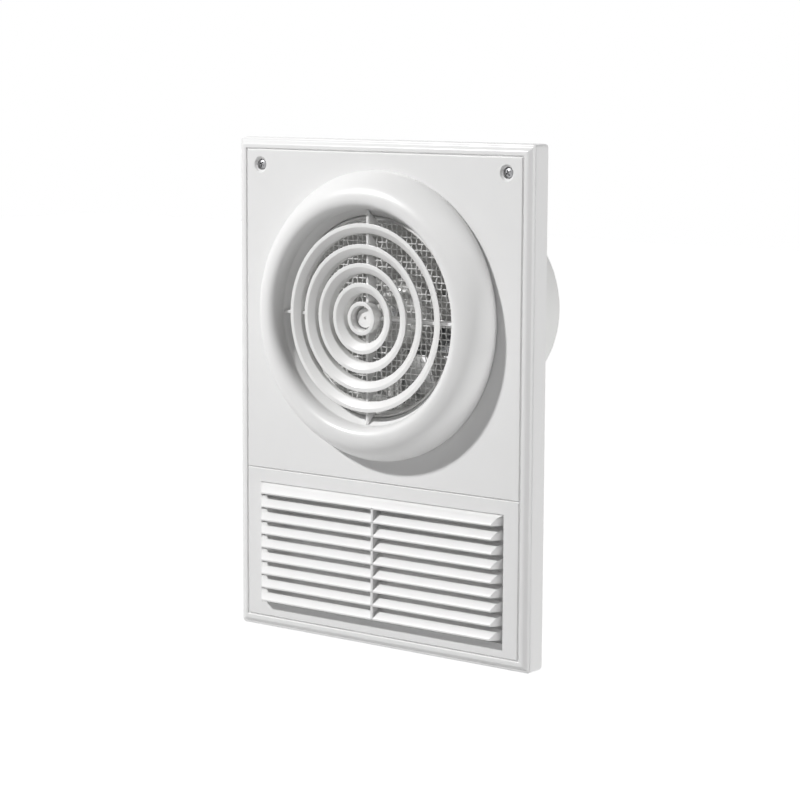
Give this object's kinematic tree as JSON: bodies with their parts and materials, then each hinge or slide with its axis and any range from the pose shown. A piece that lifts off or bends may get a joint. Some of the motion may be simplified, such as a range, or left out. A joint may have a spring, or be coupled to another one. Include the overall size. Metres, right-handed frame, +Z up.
{
  "type": "duct exhaust fan",
  "caption": "Wall-mounted axial exhaust fan with a round collar and ring grille, a round duct spigot behind and a slatted passive vent in the same flat front panel.",
  "frame": {"origin": "on the fan's axis, in the plane of the wall that the base plate rests on", "axes": "+Z up along the panel's long side, +Y into the wall along the fan's axis, -Y out of the front"},
  "size_m": [0.18, 0.101, 0.25],
  "materials": {
    "panel_white": "smooth white plastic, satin gloss",
    "collar_white": "smooth white plastic, glossy",
    "inner_white": "white plastic, dull",
    "mesh_wire": "fine light wire",
    "motor_steel": "zinc-plated sheet",
    "core_steel": "stacked electrical sheet",
    "shaft_steel": "ground shaft",
    "screw_steel": "zinc-plated",
    "bearing_bronze": "plain bronze and brass",
    "winding_copper": "enamelled copper wire",
    "impeller_grey": "light grey plastic, satin",
    "terminal_black": "dark moulded plastic",
    "grommet_rubber": "soft rubber",
    "lead_cover": "soft wire covering"
  },
  "bodies": {
    "fan_frame": {"front_panel": "panel_white", "vent_louvre": "panel_white", "front_collar": "collar_white", "inlet_grille": "collar_white", "insect_mesh": "mesh_wire", "mesh_clamp_ring": "inner_white", "fan_casing": "inner_white", "base_plate": "inner_white", "motor_bracket": "inner_white", "motor_housing": "motor_steel", "motor_end_cap": "motor_steel", "stator_core": "core_steel", "stator_windings": "winding_copper", "front_bearing": "bearing_bronze", "rear_bearing": "bearing_bronze", "terminal_block": "terminal_black", "terminal_cover": "inner_white", "cable_clamp": "inner_white", "cable_grommet": "grommet_rubber", "motor_lead_1": "lead_cover", "motor_lead_2": "lead_cover", "panel_screw_1": "screw_steel", "panel_screw_2": "screw_steel", "casing_screw_1": "screw_steel", "casing_screw_2": "screw_steel", "casing_screw_3": "screw_steel", "casing_screw_4": "screw_steel", "motor_screw_1": "screw_steel", "motor_screw_2": "screw_steel", "motor_screw_3": "screw_steel", "cable_clamp_screw_1": "screw_steel", "cable_clamp_screw_2": "screw_steel", "terminal_screw_1": "bearing_bronze", "terminal_screw_2": "bearing_bronze"},
    "fan_rotor": {"impeller": "impeller_grey", "impeller_nut": "bearing_bronze", "motor_shaft": "shaft_steel", "rotor_core": "core_steel"}
  },
  "joints": [
    {"name": "impeller_spin", "type": "hinge", "parent": "fan_frame", "child": "fan_rotor", "pos_m": [0, 0, 0], "axis": [0, 1, 0], "continuous": true}
  ]
}
